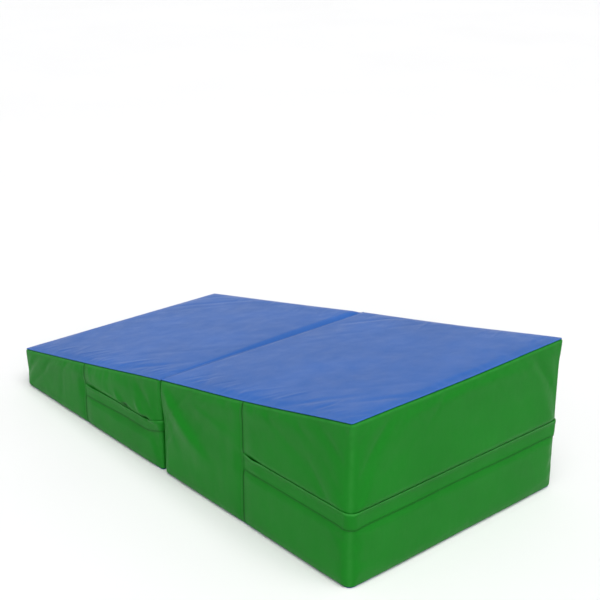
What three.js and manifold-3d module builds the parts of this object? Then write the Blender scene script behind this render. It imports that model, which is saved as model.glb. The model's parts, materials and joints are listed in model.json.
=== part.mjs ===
// Folding incline wedge mat: two foam halves in zipped vinyl covers, joined by a fold strip across the top.
// Millimetres. +X runs uphill from the thin end to the thick end, +Z is up, and -Y is the near side.
// The origin is on the floor, under the fold line, at mid-width.

import * as THREE from "three";
import { mergeVertices } from "three/addons/utils/BufferGeometryUtils.js";
import Module from "manifold-3d";

// ---------------------------------------------------------------- driving dimensions

const LENGTH = 1219.2; // thin end to thick end, unfolded
const WIDTH = 609.6;
const THICK_END = 355.6; // height of the thick end
const THIN_END = 101.6; // height of the thin end
const SPLIT = 10; // gap between the two halves, below the fold strip
const CORNER_RADIUS = 18; // upright corners of each cover, in plan
const CORNER_STEPS = 6; // facets in a quarter turn

const VINYL = 0.7; // one layer of vinyl-coated cloth
const GAP = 0.3; // clearance between neighbouring pieces
const FOAM_INSET = 2; // foam sides, inside the cover's outer surface
const NEAR_SEAM_SHIFT = 11; // the near side seams lie this far towards the thin end from mid-half

const FLAP_CLEARANCE = 2.9; // the flap's inner face, outside the cover, leaves room for the zip pull
const FLAP_THICKNESS = 2 * VINYL; // the flap is a folded strip
const FLAP_HEM = 4; // height of the sewn foot that joins the flap to the lower boxing

const ZIP_SLOT = 16; // height of the opening between the lower and upper boxing
const TAPE_HEIGHT = 13.5; // one zip tape
const TAPE_THICKNESS = 0.6;
const TAPE_SPACING = 5; // between the two tapes' inner edges
const COIL_HEIGHT = 3; // one row of teeth
const COIL_THICKNESS = 2;
const COIL_SPACING = 1.6; // between the two rows, for the slider's centre post
const STOP_FROM_SEAM = 8; // centre of a zip stop, beyond the side seam
const STOP_LENGTH = 4;
const COIL_FROM_SEAM = 12; // the rows of teeth start beyond the stops
const SLIDER_FROM_SEAM = 24; // centre of the parked slider, beyond the far seam

const MARGIN = 10; // how far a cutting solid runs past what it cuts
const WELD_DISTANCE = 1e-4;

// Each half has a plain face at its low-X end and a zipped face at its high-X end.
const HALVES = [
  {
    name: "thick",
    plainFace: SPLIT / 2,
    zipFace: LENGTH / 2,
    nearSeam: LENGTH / 4 - NEAR_SEAM_SHIFT,
    farSeam: LENGTH / 4,
    flapBottom: 130,
    flapHeight: 38,
    chainHeight: 148,
  },
  {
    name: "thin",
    plainFace: -LENGTH / 2,
    zipFace: -SPLIT / 2,
    nearSeam: -LENGTH / 4 - NEAR_SEAM_SHIFT,
    farSeam: -LENGTH / 4,
    flapBottom: 82,
    flapHeight: 29,
    chainHeight: 96,
  },
];

// Depths are measured inwards from the cover's outer surface.
const TAPE_DEPTH = VINYL + GAP;
const COIL_DEPTH = TAPE_DEPTH + TAPE_THICKNESS + GAP;
const SLIDER_PLATE = 1.1; // thickness of the slider's front and back plates
const FRONT_PLATE_DEPTH = TAPE_DEPTH - GAP - SLIDER_PLATE;
const BACK_PLATE_DEPTH = COIL_DEPTH + COIL_THICKNESS + GAP;
const GROOVE_DEPTH = BACK_PLATE_DEPTH + SLIDER_PLATE + GAP;

// Height of the sloping top surface at a given x.
const topAt = (x) => THIN_END + ((THICK_END - THIN_END) * (x + LENGTH / 2)) / LENGTH;

// ---------------------------------------------------------------- materials

const BLUE_VINYL = { color: 0x4a72c0, roughness: 0.45, metalness: 0 };
const GREEN_VINYL = { color: 0x26802c, roughness: 0.45, metalness: 0 };
const FOAM = { color: 0xe9e6dc, roughness: 0.95, metalness: 0 };
const ZIP_TAPE = { color: 0x1d1f20, roughness: 0.85, metalness: 0 };
const ZIP_COIL = { color: 0x26282a, roughness: 0.4, metalness: 0 };
const ZIP_METAL = { color: 0xb9bcc0, roughness: 0.3, metalness: 0.9 };

function piece(name, geometry, finish) {
  const mesh = new THREE.Mesh(geometry, new THREE.MeshStandardMaterial(finish));
  mesh.name = name;
  return mesh;
}

// ---------------------------------------------------------------- solids

const wasm = await Module();
wasm.setup();

function solidOf(geometry) {
  const bare = geometry.clone();
  bare.deleteAttribute("normal");
  bare.deleteAttribute("uv");
  const merged = mergeVertices(bare, WELD_DISTANCE);
  const mesh = new wasm.Mesh({
    numProp: 3,
    vertProperties: merged.getAttribute("position").array,
    triVerts: Uint32Array.from(merged.index.array),
  });
  return new wasm.Manifold(mesh);
}

function geometryOf(solid) {
  const mesh = solid.getMesh();
  const geometry = new THREE.BufferGeometry();
  geometry.setAttribute("position", new THREE.BufferAttribute(mesh.vertProperties, 3));
  geometry.setIndex(new THREE.BufferAttribute(mesh.triVerts, 1));
  geometry.computeVertexNormals();
  return geometry;
}

const common = (a, b) => geometryOf(solidOf(a).intersect(solidOf(b)));
const without = (a, b) => geometryOf(solidOf(a).subtract(solidOf(b)));
const joined = (first, ...others) =>
  geometryOf(others.reduce((solid, other) => solid.add(solidOf(other)), solidOf(first)));

const extrude = (shape, depth) => new THREE.ExtrudeGeometry(shape, { depth, bevelEnabled: false });

// An outline drawn in X and Z, extruded across Y from low to high.
function extrudeAcross(shape, low, high) {
  return extrude(shape, high - low).rotateX(Math.PI / 2).translate(0, high, 0);
}

function block(lowX, highX, lowY, highY, lowZ, highZ) {
  const box = new THREE.BoxGeometry(highX - lowX, highY - lowY, highZ - lowZ);
  return box.translate((lowX + highX) / 2, (lowY + highY) / 2, (lowZ + highZ) / 2);
}

// ---------------------------------------------------------------- outlines in plan

// A quarter turn, anticlockwise, round the middle of one upright corner.
function cornerArc(centreX, centreY, radius, startQuarter) {
  const points = [];
  for (let step = 0; step <= CORNER_STEPS; step++) {
    const angle = ((startQuarter + step / CORNER_STEPS) * Math.PI) / 2;
    points.push(new THREE.Vector2(centreX + radius * Math.cos(angle), centreY + radius * Math.sin(angle)));
  }
  return points;
}

// The four corners of one half, anticlockwise from the far corner of its zipped face.
function corners(half, depth) {
  const radius = CORNER_RADIUS - depth;
  const zipX = half.zipFace - CORNER_RADIUS;
  const plainX = half.plainFace + CORNER_RADIUS;
  const y = WIDTH / 2 - CORNER_RADIUS;
  return {
    zipFar: cornerArc(zipX, y, radius, 0),
    plainFar: cornerArc(plainX, y, radius, 1),
    plainNear: cornerArc(plainX, -y, radius, 2),
    zipNear: cornerArc(zipX, -y, radius, 3),
  };
}

function wholeOutline(half, depth) {
  const { zipFar, plainFar, plainNear, zipNear } = corners(half, depth);
  return new THREE.Shape([...zipFar, ...plainFar, ...plainNear, ...zipNear]);
}

// One surface of a band round the zipped face, from the near seam to the far seam.
function zippedPath(half, depth, fromSeam) {
  const { zipFar, zipNear } = corners(half, depth);
  const y = WIDTH / 2 - depth;
  const start = new THREE.Vector2(half.nearSeam + fromSeam, -y);
  const end = new THREE.Vector2(half.farSeam + fromSeam, y);
  return [start, ...zipNear, ...zipFar, end];
}

// One surface of a band round the plain face, from the far seam to the near seam.
function plainPath(half, depth, fromSeam) {
  const { plainFar, plainNear } = corners(half, depth);
  const y = WIDTH / 2 - depth;
  const start = new THREE.Vector2(half.farSeam - fromSeam, y);
  const end = new THREE.Vector2(half.nearSeam - fromSeam, -y);
  return [start, ...plainFar, ...plainNear, end];
}

// A sheet that follows a path, standing up from z = 0.
function band(path, half, depth, thickness, height, fromSeam = GAP / 2) {
  const outer = path(half, depth, fromSeam);
  const inner = path(half, depth + thickness, fromSeam);
  return extrude(new THREE.Shape([...outer, ...inner.reverse()]), height);
}

// Everything between two heights, each a function of x, over one half and a margin round it.
function between(half, lower, upper) {
  const low = half.plainFace - MARGIN;
  const high = half.zipFace + MARGIN;
  const profile = new THREE.Shape([
    new THREE.Vector2(low, lower(low)),
    new THREE.Vector2(high, lower(high)),
    new THREE.Vector2(high, upper(high)),
    new THREE.Vector2(low, upper(low)),
  ]);
  return extrudeAcross(profile, -WIDTH / 2 - MARGIN, WIDTH / 2 + MARGIN);
}

const sheetEdge = VINYL + GAP; // upright sheets stop this far inside the top and bottom panels
const underTopPanel = (x) => topAt(x) - sheetEdge;

// ---------------------------------------------------------------- foam and cover

// A solid wedge block, with a shallow groove along the zip where the slider's back plate presses in.
function foamCore(half) {
  const block = common(
    extrude(wholeOutline(half, FOAM_INSET), THICK_END),
    between(half, () => sheetEdge, underTopPanel),
  );
  const groove = band(zippedPath, half, -MARGIN, GROOVE_DEPTH + MARGIN, ZIP_SLOT);
  groove.translate(0, 0, half.chainHeight - ZIP_SLOT / 2);
  return piece(`${half.name}_foam_core`, without(block, groove), FOAM);
}

function topPanel(half) {
  const sheet = between(half, (x) => topAt(x) - VINYL, topAt);
  const geometry = common(extrude(wholeOutline(half, 0), THICK_END + MARGIN), sheet);
  return piece(`${half.name}_top_panel`, geometry, BLUE_VINYL);
}

function bottomPanel(half) {
  return piece(`${half.name}_bottom_panel`, extrude(wholeOutline(half, 0), VINYL), BLUE_VINYL);
}

// One piece of vinyl round the plain face and both sides as far as the seams.
function plainBoxing(half) {
  const geometry = common(
    band(plainPath, half, 0, VINYL, THICK_END),
    between(half, () => sheetEdge, underTopPanel),
  );
  return piece(`${half.name}_plain_boxing`, geometry, GREEN_VINYL);
}

function upperBoxing(half) {
  const lowEdge = half.chainHeight + ZIP_SLOT / 2;
  const geometry = common(
    band(zippedPath, half, 0, VINYL, THICK_END).translate(0, 0, lowEdge),
    between(half, () => 0, underTopPanel),
  );
  return piece(`${half.name}_upper_boxing`, geometry, GREEN_VINYL);
}

function lowerBoxing(half) {
  const height = half.chainHeight - ZIP_SLOT / 2 - sheetEdge;
  const mesh = piece(`${half.name}_lower_boxing`, band(zippedPath, half, 0, VINYL, height), GREEN_VINYL);
  mesh.position.z = sheetEdge;
  return mesh;
}

// The folded strip that hides the zip: sewn along its foot, free along its top edge.
function zipFlap(half) {
  const outerDepth = -FLAP_CLEARANCE - FLAP_THICKNESS;
  const strip = band(zippedPath, half, outerDepth, FLAP_THICKNESS, half.flapHeight);
  const foot = band(zippedPath, half, outerDepth, -outerDepth - GAP, FLAP_HEM);
  const mesh = piece(`${half.name}_zip_flap`, joined(strip, foot), GREEN_VINYL);
  mesh.position.z = half.flapBottom;
  return mesh;
}

// ---------------------------------------------------------------- zip

function zipTape(half, side, direction) {
  const geometry = band(zippedPath, half, TAPE_DEPTH, TAPE_THICKNESS, TAPE_HEIGHT);
  const mesh = piece(`${half.name}_zip_tape_${side}`, geometry, ZIP_TAPE);
  const middle = direction * (TAPE_SPACING + TAPE_HEIGHT) * 0.5;
  mesh.position.z = half.chainHeight + middle - TAPE_HEIGHT / 2;
  return mesh;
}

function zipTeeth(half, side, direction) {
  const geometry = band(zippedPath, half, COIL_DEPTH, COIL_THICKNESS, COIL_HEIGHT, COIL_FROM_SEAM);
  const mesh = piece(`${half.name}_zip_teeth_${side}`, geometry, ZIP_COIL);
  const middle = direction * (COIL_SPACING + COIL_HEIGHT) * 0.5;
  mesh.position.z = half.chainHeight + middle - COIL_HEIGHT / 2;
  return mesh;
}

// A clip across both tapes that ends the slider's travel.
function zipStop(half, side, seam, outward) {
  const height = 2 * COIL_HEIGHT + COIL_SPACING;
  const mesh = piece(
    `${half.name}_zip_stop_${side}`,
    new THREE.BoxGeometry(STOP_LENGTH, COIL_THICKNESS, height),
    ZIP_METAL,
  );
  const y = WIDTH / 2 - COIL_DEPTH - COIL_THICKNESS / 2;
  mesh.position.set(seam + STOP_FROM_SEAM, outward * y, half.chainHeight);
  return mesh;
}

// Slider, about the middle of the chain: x along the chain, y outwards from the cover, z up.
const SLIDER_HALF_LENGTH = 7;
const SLIDER_SHOULDER = 6.3; // half height at the wide end, which faces the closing direction
const SLIDER_TAIL = 5; // half height at the narrow end
const SLIDER_ROUND = 2;
const FLANGE = 0.8;
const POST_HALF_THICKNESS = COIL_SPACING / 2 - GAP;
const PULL_THICKNESS = 1;
const PULL_CLEARANCE = 0.2; // between the pull lying flat and the slider
const PULL_AXIS = -FRONT_PLATE_DEPTH + PULL_CLEARANCE + PULL_THICKNESS / 2; // outwards from the cover
const BAIL_TOP = FLAP_CLEARANCE - GAP;
const BAIL_THICKNESS = 0.7;
const BAIL_LEG = 1.2;
const BAIL_HALF_LENGTH = 4.2;
const BAIL_HALF_WIDTH = 0.8;

function sliderOutline() {
  const outline = new THREE.Shape();
  const nose = -SLIDER_HALF_LENGTH;
  outline.moveTo(SLIDER_HALF_LENGTH, -SLIDER_TAIL);
  outline.lineTo(SLIDER_HALF_LENGTH, SLIDER_TAIL);
  outline.lineTo(-1, SLIDER_SHOULDER);
  outline.lineTo(nose + SLIDER_ROUND, SLIDER_SHOULDER);
  outline.quadraticCurveTo(nose, SLIDER_SHOULDER, nose, SLIDER_SHOULDER - SLIDER_ROUND);
  outline.lineTo(nose, -SLIDER_SHOULDER + SLIDER_ROUND);
  outline.quadraticCurveTo(nose, -SLIDER_SHOULDER, nose + SLIDER_ROUND, -SLIDER_SHOULDER);
  outline.lineTo(-1, -SLIDER_SHOULDER);
  return outline;
}

// The arch that holds the pull's crossbar, drawn in X and outward Y.
function bailOutline() {
  const root = -FRONT_PLATE_DEPTH - SLIDER_PLATE / 2;
  const inside = BAIL_HALF_LENGTH - BAIL_LEG;
  return new THREE.Shape([
    new THREE.Vector2(-BAIL_HALF_LENGTH, root),
    new THREE.Vector2(-inside, root),
    new THREE.Vector2(-inside, BAIL_TOP - BAIL_THICKNESS),
    new THREE.Vector2(inside, BAIL_TOP - BAIL_THICKNESS),
    new THREE.Vector2(inside, root),
    new THREE.Vector2(BAIL_HALF_LENGTH, root),
    new THREE.Vector2(BAIL_HALF_LENGTH, BAIL_TOP - BAIL_THICKNESS),
    new THREE.Vector2(inside, BAIL_TOP),
    new THREE.Vector2(-inside, BAIL_TOP),
    new THREE.Vector2(-BAIL_HALF_LENGTH, BAIL_TOP - BAIL_THICKNESS),
  ]);
}

function sliderBody() {
  const plate = (depth) => extrudeAcross(sliderOutline(), -depth - SLIDER_PLATE, -depth);
  const rootDepth = BACK_PLATE_DEPTH + SLIDER_PLATE / 2;
  const post = block(-6, -2, -rootDepth, -FRONT_PLATE_DEPTH - SLIDER_PLATE / 2,
    -POST_HALF_THICKNESS, POST_HALF_THICKNESS);
  const flange = (low) => block(-5, SLIDER_HALF_LENGTH, -rootDepth, -COIL_DEPTH, low, low + FLANGE);
  const bail = extrude(bailOutline(), 2 * BAIL_HALF_WIDTH).translate(0, 0, -BAIL_HALF_WIDTH);
  return joined(
    plate(FRONT_PLATE_DEPTH),
    plate(BACK_PLATE_DEPTH),
    post,
    flange(SLIDER_TAIL - FLANGE),
    flange(-SLIDER_TAIL),
    bail,
  );
}

// The pull tab, about its crossbar, lying flat along +X. A window lets the slider's arch through.
function pullTab() {
  const halfWidth = 4;
  const length = 24;
  const crossbar = PULL_THICKNESS / 2;
  const outline = new THREE.Shape();
  outline.moveTo(-crossbar, -halfWidth);
  outline.lineTo(length - halfWidth, -halfWidth);
  outline.absarc(length - halfWidth, 0, halfWidth, -Math.PI / 2, Math.PI / 2, false);
  outline.lineTo(-crossbar, halfWidth);
  const window = new THREE.Path([
    new THREE.Vector2(crossbar, -1.3),
    new THREE.Vector2(crossbar, 1.3),
    new THREE.Vector2(5.6, 1.3),
    new THREE.Vector2(5.6, -1.3),
  ]);
  const eye = new THREE.Path();
  eye.absarc(length - halfWidth, 0, 1.6, 0, 2 * Math.PI, true);
  outline.holes.push(window, eye);
  return extrudeAcross(outline, -PULL_THICKNESS / 2, PULL_THICKNESS / 2);
}

function slider(half) {
  const group = new THREE.Group();
  group.add(piece(`${half.name}_zip_slider`, sliderBody(), ZIP_METAL));
  const pull = piece(`${half.name}_zip_pull`, pullTab(), ZIP_METAL);
  pull.position.y = PULL_AXIS;
  group.add(pull);
  group.position.set(half.farSeam + SLIDER_FROM_SEAM, WIDTH / 2, half.chainHeight);
  return group;
}

// ---------------------------------------------------------------- assembly

function buildHalf(half) {
  const group = new THREE.Group();
  group.add(
    foamCore(half),
    topPanel(half),
    bottomPanel(half),
    plainBoxing(half),
    upperBoxing(half),
    lowerBoxing(half),
    zipFlap(half),
    zipTape(half, "upper", 1),
    zipTape(half, "lower", -1),
    zipTeeth(half, "upper", 1),
    zipTeeth(half, "lower", -1),
    zipStop(half, "near", half.nearSeam, -1),
    zipStop(half, "far", half.farSeam, 1),
    slider(half),
  );
  return group;
}

// The strip that joins the two top panels: a half-round trough of slack cloth across the split.
function foldStrip() {
  const outer = SPLIT / 2 - GAP;
  const trough = new THREE.Shape();
  trough.absarc(0, 0, outer, Math.PI, 2 * Math.PI, false);
  trough.absarc(0, 0, outer - VINYL, 2 * Math.PI, Math.PI, true);
  const halfWidth = WIDTH / 2 - CORNER_RADIUS;
  const mesh = piece("fold_strip", extrudeAcross(trough, -halfWidth, halfWidth), BLUE_VINYL);
  mesh.position.z = topAt(0);
  return mesh;
}

const mat = new THREE.Group();
HALVES.forEach((half) => mat.add(buildHalf(half)));
mat.add(foldStrip());

export default mat;
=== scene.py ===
"""The looks of a folding incline wedge mat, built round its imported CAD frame.

Lengths are millimetres until a mesh is made. +X runs uphill to the thick end, -Y is the near side and +Z is
up. The origin is on the floor, under the fold line, at mid-width.
"""

import json
import math
from types import SimpleNamespace

import bpy
import numpy as np
from mathutils import Matrix, Vector


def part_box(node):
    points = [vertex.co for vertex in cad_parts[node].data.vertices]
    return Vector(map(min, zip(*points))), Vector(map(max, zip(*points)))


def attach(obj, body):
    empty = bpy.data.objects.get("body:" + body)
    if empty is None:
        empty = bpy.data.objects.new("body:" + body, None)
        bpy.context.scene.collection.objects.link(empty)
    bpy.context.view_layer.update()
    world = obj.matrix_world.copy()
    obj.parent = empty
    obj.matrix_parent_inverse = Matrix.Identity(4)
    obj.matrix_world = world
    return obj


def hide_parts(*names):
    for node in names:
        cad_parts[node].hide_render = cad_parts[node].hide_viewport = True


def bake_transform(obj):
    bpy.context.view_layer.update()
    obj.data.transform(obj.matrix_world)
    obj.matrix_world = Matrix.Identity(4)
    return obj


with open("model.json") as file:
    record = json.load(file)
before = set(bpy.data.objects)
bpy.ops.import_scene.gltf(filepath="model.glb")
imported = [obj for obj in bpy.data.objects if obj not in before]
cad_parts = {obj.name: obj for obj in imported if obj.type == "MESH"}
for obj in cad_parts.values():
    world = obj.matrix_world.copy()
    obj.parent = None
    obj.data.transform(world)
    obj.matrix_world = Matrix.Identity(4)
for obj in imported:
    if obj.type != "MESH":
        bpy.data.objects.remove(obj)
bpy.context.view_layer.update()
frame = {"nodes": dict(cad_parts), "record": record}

MM = 0.001
QUARTER = math.pi / 2

# ---- cloth and sewing

VINYL = 0.7  # one layer of vinyl-coated cloth
CLOTH_STEP = 4.0  # grid spacing on open cloth
CORNER_STEP = 2.0  # grid spacing round the upright corners

SEAM_GAP = 0.1  # between two pieces of cloth that meet in a seam
SEAM_RADIUS = 1.3  # the roll of cloth into a seam
SEAM_TUCK = 1.0  # cloth that runs straight in behind the roll
ZIP_EDGE_RADIUS = 0.25  # the turned edge of the cloth beside the zip
TOPSTITCH = 7.6  # second row of stitches, from the side seam
TOPSTITCH_DENT = 0.5
EDGE_PLACES = np.array([0, 1.0, 1.5, 2.0, 2.5, 3.1, 4.5, 6.2, 7.0, 7.6, 8.2, 9.2, 11, 14])

TOP_SEAM = 1.9  # the blue top wraps down this far
BOTTOM_SEAM = 2.0  # the blue underside wraps up this far
TOP_EDGE_RADIUS = 0.5
TOP_LIP = 2.4  # the green cloth stands out this far just below its top seam
BOTTOM_EDGE_RADIUS = 0.6
BOTTOM_CURL = 2.6  # the foot of the sides curls in this far
TOP_CORNER_RADIUS = 6.0  # upright corners are sewn crisp at the top
CORNER_RADIUS = 9.0  # and rounder further down
WORN_CORNER_RADIUS = 18.0  # most of all at the thick end's near corner
SPLIT_CORNER_RADIUS = 8.0  # the corners beside the split stay crisper
CORNER_REACH = 24.0  # the corner's curve starts this far from the sharp corner
CRISP_DEPTH = 70.0  # how far below the top the crisp corner has become round

SPLIT_FACE_CROWN = 1.2
WALL_CROWN = 2.2
WALL_SHOULDER = 34.0  # width of the rounded shoulder along each edge of a side
TOP_CROWN = 2.6
TOP_SHOULDER = 24.0
EDGE_REACH = 60.0  # how far in from an edge its sag and lip are felt
FLAP_PUFF = 3.4  # bulge of the cloth above a flap
ZIPPED_BLEND = 30.0  # width over which the plain side turns into the zipped one
SWELL_ON_TOP = 0.5  # share of the simulated swelling that the tops take

STITCH_PITCH = 3.6
STITCH_LENGTH = 2.7
THREAD_RADIUS = 0.32
THREAD_RISE = 0.1  # from the cloth to the middle of the thread


def box_mm(node):
    low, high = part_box(node)
    return np.array(low) / MM, np.array(high) / MM


thick_top_high = box_mm("thick_top_panel")[1]
thin_top_high = box_mm("thin_top_panel")[1]
SLOPE = (thick_top_high[2] - thin_top_high[2]) / (thick_top_high[0] - thin_top_high[0])


def top_at(x):
    """Height of the sloping top."""
    return thick_top_high[2] + SLOPE * (x - thick_top_high[0])


def read_half(name):
    low, high = box_mm(f"{name}_bottom_panel")
    tape_above = box_mm(f"{name}_zip_tape_upper")[0][2]
    tape_below = box_mm(f"{name}_zip_tape_lower")[1][2]
    upper_low = box_mm(f"{name}_upper_boxing")[0]
    lower_high = box_mm(f"{name}_lower_boxing")[1]
    plain_high = box_mm(f"{name}_plain_boxing")[1]
    flap_low, flap_high = box_mm(f"{name}_zip_flap")
    return SimpleNamespace(
        name=name,
        body=f"{name}_half",
        plain_x=low[0],
        zip_x=high[0],
        near_y=low[1],
        far_y=high[1],
        near_seam=upper_low[0],
        far_seam=plain_high[0],
        lower_edge=lower_high[2],
        upper_edge=upper_low[2],
        chain=(tape_above + tape_below) / 2,
        flap_bottom=flap_low[2],
        flap_top=flap_high[2],
    )


THICK = read_half("thick")
THIN = read_half("thin")
HALVES = (THICK, THIN)
SPLIT_HALF_GAP = THICK.plain_x

# ---- curves


def smooth(t):
    t = np.clip(t, 0, 1)
    return t * t * (3 - 2 * t)


def shoulder(distance, width):
    """0 at an edge and 1 from a shoulder's width inwards, round like a stuffed cover."""
    return 1 - (1 - np.clip(distance / width, 0, 1)) ** 2


def bump(distance, width):
    return np.exp(-((distance / width) ** 2))


def unit(vectors):
    return vectors / np.maximum(np.linalg.norm(vectors, axis=-1, keepdims=True), 1e-12)


# ---- the cover swells round its foam

CELL = 9.0  # size of the simulated cloth's squares
SIMULATED_FRAMES = 20
PRESSURE = 3.0  # from the squeezed foam
FOAM_HOLD = 0.12  # how firmly the foam's grip keeps the cloth in place
STIFFNESS = 15.0
BENDING = 0.4
GATHER = 0.03  # the sewn edges are drawn this much shorter
SLACK = 0.006  # and the cloth between them is cut this much larger
SWELL_CAP = 4.5  # no point moves further than this
OTHER_AXES = ((1, 2), (0, 2), (0, 1))


def wedge_shell(half):
    """A closed mesh of near-square cells round the plain wedge, and each point's place in their grid."""
    middle = (half.plain_x + half.zip_x) / 2
    size = np.array([half.zip_x - half.plain_x, half.far_y - half.near_y, top_at(middle)])
    cells = np.maximum(np.round(size / CELL).astype(int), 4)
    index = {}
    faces = []
    for fixed, first, second in ((0, 1, 2), (1, 2, 0), (2, 0, 1)):
        for level in (0, int(cells[fixed])):
            for a, b in np.ndindex(cells[first], cells[second]):
                face = []
                for step_a, step_b in ((0, 0), (1, 0), (1, 1), (0, 1)):
                    number = [level] * 3
                    number[first] = a + step_a
                    number[second] = b + step_b
                    face.append(index.setdefault(tuple(number), len(index)))
                faces.append(face if level else face[::-1])
    numbers = np.array(list(index))
    x, y, z = (numbers / cells).T
    x = half.plain_x + x * size[0]
    points = np.stack([x, half.near_y + y * size[1], z * top_at(x)], axis=1)
    return points, faces, numbers, cells


def simulate_cover(half):
    """Inflates the cover with Blender's cloth and returns each face's grid of capped movements."""
    points, faces, numbers, cells = wedge_shell(half)
    mesh = bpy.data.meshes.new("swelling")
    mesh.from_pydata((points * MM).tolist(), [], faces)
    mesh.update()
    shell = bpy.data.objects.new("swelling", mesh)
    scene = bpy.context.scene
    scene.collection.objects.link(shell)
    on_floor = numbers[:, 2] == 0
    held = shell.vertex_groups.new(name="held")
    held.add(np.flatnonzero(~on_floor).tolist(), FOAM_HOLD, "REPLACE")
    held.add(np.flatnonzero(on_floor).tolist(), 1.0, "REPLACE")
    sewn = shell.vertex_groups.new(name="sewn")
    on_border = (numbers == 0) | (numbers == cells)
    sewn.add(np.flatnonzero(on_border.sum(axis=1) >= 2).tolist(), 1.0, "REPLACE")
    cloth = shell.modifiers.new("cloth", "CLOTH")
    settings = cloth.settings
    settings.quality = 5
    settings.tension_stiffness = STIFFNESS
    settings.compression_stiffness = STIFFNESS
    settings.shear_stiffness = STIFFNESS / 3
    settings.bending_stiffness = BENDING
    settings.use_pressure = True
    settings.uniform_pressure_force = PRESSURE
    settings.effector_weights.gravity = 0
    settings.vertex_group_mass = held.name
    settings.vertex_group_shrink = sewn.name
    settings.shrink_min = -SLACK
    settings.shrink_max = GATHER
    cloth.collision_settings.use_collision = False
    cloth.point_cache.frame_start = 1
    cloth.point_cache.frame_end = SIMULATED_FRAMES
    for frame_number in range(1, SIMULATED_FRAMES + 1):
        scene.frame_set(frame_number)
    swollen = shell.evaluated_get(bpy.context.evaluated_depsgraph_get()).to_mesh()
    after = np.empty(3 * len(points))
    swollen.vertices.foreach_get("co", after)
    moved = after.reshape(-1, 3) / MM - points
    scene.frame_set(1)
    bpy.data.objects.remove(shell)
    bpy.data.meshes.remove(mesh)
    far = np.linalg.norm(moved, axis=1, keepdims=True)
    moved *= SWELL_CAP * np.tanh(far / SWELL_CAP) / np.maximum(far, 1e-9)
    grids = {}
    for axis in range(3):
        first, second = OTHER_AXES[axis]
        for side, level in ((-1, 0), (1, cells[axis])):
            here = numbers[:, axis] == level
            grid = np.zeros((cells[first] + 1, cells[second] + 1, 3))
            grid[numbers[here, first], numbers[here, second]] = moved[here]
            grids[axis, side] = grid
    return SimpleNamespace(cells=cells, grids=grids)


SWELLING = {}
for simulated_half in HALVES:
    SWELLING[simulated_half.name] = simulate_cover(simulated_half)


def spline_weights(t):
    """A cubic B-spline's weights for the four grid points round a place."""
    before, after = (1 - t) ** 3, t**3
    first = 3 * after - 6 * t**2 + 4
    return [before / 6, first / 6, (6 - before - first - after) / 6, after / 6]


def sample_grid(grid, a, b):
    whole_a, whole_b = np.floor(a).astype(int), np.floor(b).astype(int)
    total = np.zeros(a.shape + (3,))
    for step_a, weight_a in enumerate(spline_weights(a - whole_a)):
        row = np.clip(whole_a + step_a - 1, 0, grid.shape[0] - 1)
        for step_b, weight_b in enumerate(spline_weights(b - whole_b)):
            column = np.clip(whole_b + step_b - 1, 0, grid.shape[1] - 1)
            total += (weight_a * weight_b)[..., None] * grid[row, column]
    return total


def swelling_at(half, point, normal):
    """Movement of the simulated cover at points of the plain wedge that face along their normals."""
    total = np.zeros(point.shape)
    if half.name not in SWELLING:
        return total
    swelling = SWELLING[half.name]
    x, y, z = np.moveaxis(point, -1, 0)
    share_x = (x - half.plain_x) / (half.zip_x - half.plain_x)
    share_y = (y - half.near_y) / (half.far_y - half.near_y)
    share = np.stack([share_x, share_y, z / top_at(x)], axis=-1)
    number = np.clip(share, 0, 1) * swelling.cells
    for (axis, side), grid in swelling.grids.items():
        first, second = OTHER_AXES[axis]
        facing = np.clip(side * normal[..., axis], 0, 1) ** 2
        total += facing[..., None] * sample_grid(grid, number[..., first], number[..., second])
    return total


# ---- the soft shape of a half


def crease(a, b, start, end, height, rising, falling):
    """A soft ridge from start to end in a face's own two directions.

    It is steeper on its left, seen from start to end, when rising is the smaller width.
    """
    start, end = np.array(start, float), np.array(end, float)
    length = np.linalg.norm(end - start)
    along = (end - start) / length
    u = (a - start[0]) * along[0] + (b - start[1]) * along[1]
    v = (b - start[1]) * along[0] - (a - start[0]) * along[1]
    width = np.where(v > 0, rising, falling)
    ends = smooth(u / (0.25 * length)) * smooth((length - u) / (0.45 * length))
    return height * ends * bump(v, width)


def hinge_valley(half, x, y):
    """Drop of the top beside the fold: narrow at the near side, wide at the far side."""
    share = smooth((y - half.near_y - 20) / 440) ** 1.4
    started = smooth((y - half.near_y - 12) / 60)
    ended = 1 - 0.75 * smooth((y - half.far_y + 34) / 30)
    if half is THIN:
        width = 6 + 20 * share
        depth = 0.3 + 1.8 * started + 5.6 * share
    else:
        width = 5 + 3 * share
        depth = 0.3 + 0.6 * started + 1.0 * share
    return depth * ended * (1 - np.clip((np.abs(x) - SPLIT_HALF_GAP) / width, 0, 1)) ** 1.2


def sag(half, x, y):
    """Drop of the upper edges: in the middle of the sides, of the thick end and beside the fold."""
    middle = np.clip((x - half.plain_x) / (half.zip_x - half.plain_x), 0, 1)
    near, far = np.exp((half.near_y - y) / EDGE_REACH), np.exp((y - half.far_y) / EDGE_REACH)
    drop = (4.0 if half is THICK else 1.2) * np.sin(math.pi * middle) ** 2 * (near + 0.5 * far)
    if half is THICK:
        drop = drop + 2.5 * np.exp((x - half.zip_x) / EDGE_REACH) * np.cos(y / half.far_y * QUARTER) ** 2
    return drop + hinge_valley(half, x, y)


def lean_over_split(half, x, y, under_top):
    """How far the upper edges beside the split lean towards each other under the fold strip."""
    reach = 3.4 - 1.6 * smooth((y - half.near_y) / 300)
    return reach * np.exp(-(np.abs(x) - SPLIT_HALF_GAP) / 14) * np.exp(-under_top / 30)


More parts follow.
